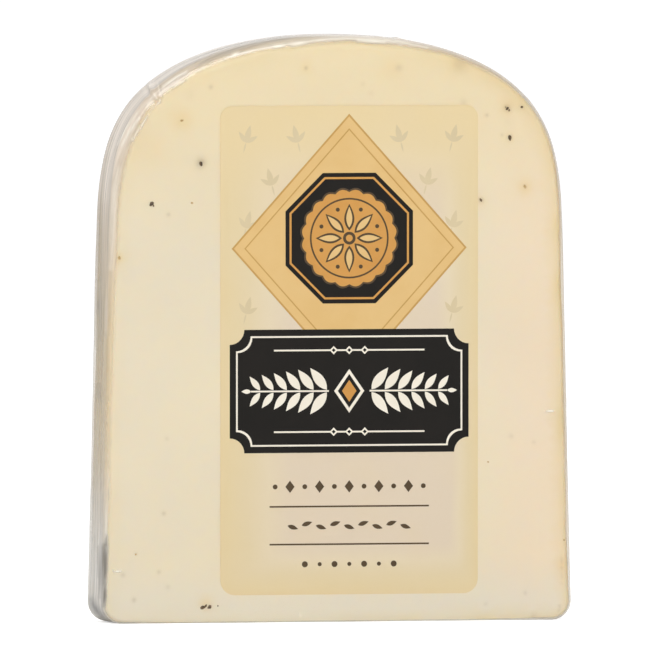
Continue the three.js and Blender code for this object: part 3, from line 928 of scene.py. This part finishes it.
def stock_material():
    n = Nodes("label_stock")
    at, fibre, mottle = paper_parts(n)
    xyz = n.add("SeparateXYZ", {0: at})
    u = n.math("ABSOLUTE", n.math("SUBTRACT", xyz.outputs[0], LABEL_X * MM))
    v = n.math("SUBTRACT", xyz.outputs[2], LABEL_Z * MM)
    low = n.span(v, -0.004, -0.016)
    right = n.span(n.math("SUBTRACT", xyz.outputs[0], LABEL_X * MM), 0.0, 0.012)
    du = n.math("MULTIPLY", n.math("SUBTRACT", W2 * MM, u), n.math("ADD", n.math("ADD", 1.0, n.math("MULTIPLY", right, 0.7)), n.math("MULTIPLY", n.math("MULTIPLY", low, right), 0.9)))
    dv = n.math("MULTIPLY", n.math("SUBTRACT", H2 * MM, n.math("ABSOLUTE", v)), n.math("ADD", 1.0, n.math("MULTIPLY", low, 0.5)))
    near = n.add("Math", {0: du, 1: dv, 2: 0.006}, operation="SMOOTH_MIN").outputs[0]
    near = n.math("ADD", near, n.math("MULTIPLY", n.math("SUBTRACT", mottle, 0.5), 0.004))
    ramp = n.add("ValToRGB", {0: n.span(near, -0.0012, 0.0145, smooth=False)})
    e = ramp.color_ramp.elements
    e[0].position, e[0].color = 0.0, lin(229, 207, 160)
    e[1].position, e[1].color = 1.0, lin(226, 209, 185)
    for pos, col in ((0.2, lin(229, 209, 165)), (0.45, lin(228, 210, 171)), (0.72, lin(230, 214, 183))):
        k = e.new(pos)
        k.color = col
    crown = n.span(v, 0.022, 0.048)
    base = n.mix(n.math("MULTIPLY", crown, 0.8), ramp.outputs[0], lin(234, 212, 164))
    base = n.mix(n.span(mottle, 0.4, 0.7, 0.0, 0.22), base, lin(230, 210, 172))
    base = n.mix(n.span(fibre, 0.5, 0.8, 0.0, 0.12), base, lin(218, 199, 158))
    b = n.add("BsdfPrincipled", {"Base Color": base, "Roughness": n.span(fibre, 0.3, 0.7, 0.42, 0.56),
                                 "Normal": n.bump(fibre, 0.12, 0.0001)})
    b.inputs["IOR"].default_value = 1.45
    return n.done(b.outputs[0])


def ink_material(name, rgb, vary, rough):
    """Printed ink: its colour, a slightly different one in soft patches, and the paper's grain through it."""
    n = Nodes(name)
    at, fibre, mottle = paper_parts(n)
    base = n.mix(n.span(mottle, 0.35, 0.68), lin(*rgb), lin(*vary))
    base = n.mix(n.span(fibre, 0.55, 0.85, 0.0, 0.16), base, lin(*[min(255, c + 26) for c in rgb]))
    b = n.add("BsdfPrincipled", {"Base Color": base, "Roughness": n.span(fibre, 0.3, 0.7, rough - 0.05, rough + 0.1),
                                 "Normal": n.bump(fibre, 0.1, 0.0001)})
    b.inputs["IOR"].default_value = 1.45
    b.inputs["Specular IOR Level"].default_value = 0.3
    return n.done(b.outputs[0])


for made in (stock_material(), ink_material("label_tone", (220, 202, 164), (216, 198, 160), 0.48),
             ink_material("label_ochre", (229, 193, 131), (226, 188, 124), 0.46), ink_material("label_deep_ochre", (203, 160, 92), (198, 154, 86), 0.46),
             ink_material("label_black", (22, 19, 15), (26, 22, 18), 0.42), ink_material("label_cream", (245, 238, 222), (241, 233, 216), 0.46),
             ink_material("label_gold", (214, 158, 84), (207, 149, 76), 0.42), ink_material("label_brown", (84, 68, 48), (92, 75, 54), 0.46)):
    label.data.materials.append(made)

# ---- riding ----------------------------------------------------------------------------------
for piece, slot_name in ((cheese, "cheese"), (dark_flakes, "cheese"), (tan_flakes, "cheese"), (film, "cheese"), (label, "label")):
    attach(piece, "root")
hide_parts("wrapped_slab")
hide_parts("wrapped_slab")
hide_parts("front_label")

# ---- floor, light, camera --------------------------------------------------------------------
scene = bpy.context.scene
scene.view_settings.view_transform = "Standard"
WORLD_FRONT, WORLD_BACK = 0.28, 0.82

floor = new_object("floor", [(-30000, -30000, 0), (30000, -30000, 0), (30000, 30000, 0), (-30000, 30000, 0)], [[0, 1, 2, 3]], smooth=False)
n = Nodes("pale_floor")
tone = n.mix(n.noise(n.here(), 3.0, 2.0, 0.5), (0.80, 0.80, 0.80, 1), (0.82, 0.82, 0.82, 1))
matt = n.add("BsdfDiffuse", {"Color": tone})
glow = n.add("Emission", {"Color": (1, 1, 1, 1), "Strength": 0.62})
bright = n.add("AddShader", {0: matt.outputs[0], 1: glow.outputs[0]})
seen = n.add("LightPath").outputs["Is Camera Ray"]
floor.data.materials.append(n.done(n.add("MixShader", {0: seen, 1: matt.outputs[0], 2: bright.outputs[0]}).outputs[0]))

# A pale room: brighter behind the slab than in front of it.
world = bpy.data.worlds.new("studio")
scene.world = world
world.use_nodes = True
wt = world.node_tree
toward = wt.nodes.new("ShaderNodeTexCoord")
parts = wt.nodes.new("ShaderNodeSeparateXYZ")
ramp = wt.nodes.new("ShaderNodeMapRange")
ramp.interpolation_type = "SMOOTHSTEP"
ramp.inputs[1].default_value, ramp.inputs[2].default_value = -0.5, 0.6
ramp.inputs[3].default_value, ramp.inputs[4].default_value = WORLD_FRONT, WORLD_BACK
wt.links.new(toward.outputs["Generated"], parts.inputs[0])
wt.links.new(parts.outputs[1], ramp.inputs[0])
wt.links.new(ramp.outputs[0], wt.nodes["Background"].inputs["Strength"])
wt.nodes["Background"].inputs["Color"].default_value = (1.0, 1.0, 1.0, 1)


def softbox(name, azimuth, elevation, away, size, power):
    """An area light that looks at the slab. Azimuth 0 is straight in front of it, positive to the right."""
    a, e = math.radians(azimuth), math.radians(elevation)
    towards = Vector((math.sin(a) * math.cos(e), -math.cos(a) * math.cos(e), math.sin(e)))
    data = bpy.data.lights.new(name, "AREA")
    data.shape, data.size, data.size_y, data.energy = "RECTANGLE", size[0], size[1], power
    ob = bpy.data.objects.new(name, data)
    scene.collection.objects.link(ob)
    ob.location = Vector((0, 0, HEIGHT / 2 * MM)) + towards * away
    ob.rotation_euler = towards.to_track_quat("Z", "Y").to_euler()
    return ob


softbox("key", -20, 38, 2.4, (2.1, 1.0), 35.0)
softbox("fill", 42, 20, 2.4, (1.2, 1.2), 6.6)
softbox("rear", 170, 34, 2.4, (1.8, 1.0), 3.0)

camera = bpy.data.objects.new("camera", bpy.data.cameras.new("camera"))
scene.collection.objects.link(camera)
camera.data.sensor_width = 36.0
camera.data.lens = 36.0 * AWAY * PIXEL / 657.0
camera.data.clip_start, camera.data.clip_end = 0.1, 200.0
spot = TARGET - RIGHT * (MIDDLE[0] - 328.5) / PIXEL - UP * (328.5 - MIDDLE[1]) / PIXEL - AHEAD * AWAY
camera.location = Vector(spot * MM)
camera.rotation_euler = Vector(AHEAD).to_track_quat("-Z", "Y").to_euler()
scene.camera = camera
